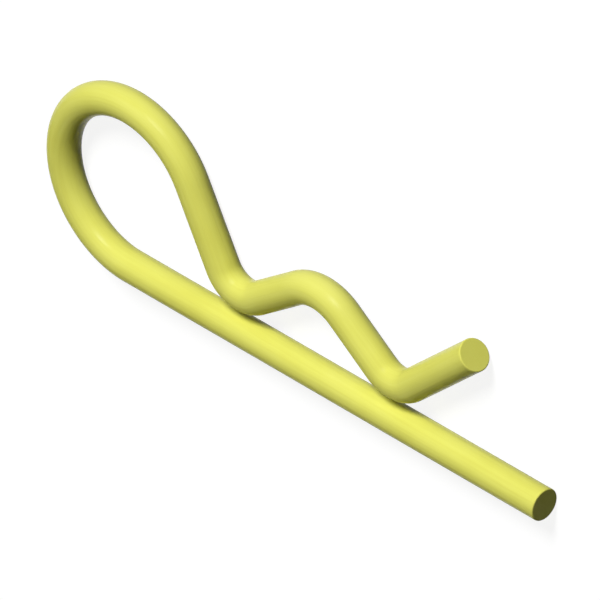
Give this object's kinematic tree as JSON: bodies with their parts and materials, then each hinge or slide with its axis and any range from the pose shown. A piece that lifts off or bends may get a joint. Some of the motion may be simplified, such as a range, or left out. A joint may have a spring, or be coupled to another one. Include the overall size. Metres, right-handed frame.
{
  "type": "r-clip spring pin",
  "caption": "R-shaped clip of bent round spring wire: its straight leg goes through a cross hole in a shaft while the wavy sprung leg grips the shaft from outside.",
  "frame": {"origin": "where the axis of the shaft that the pin secures crosses the axis of the straight leg, under the crown of the arch", "axes": "+X along the straight leg towards its free end, +Y from the straight leg towards the sprung leg, +Z along the shaft's axis, square to the flat of the clip, and up as it lies"},
  "size_m": [0.0784, 0.026, 0.004],
  "materials": {
    "yellow_zinc": "satin"
  },
  "bodies": {
    "root": {"spring_pin": "yellow_zinc"}
  },
  "joints": []
}
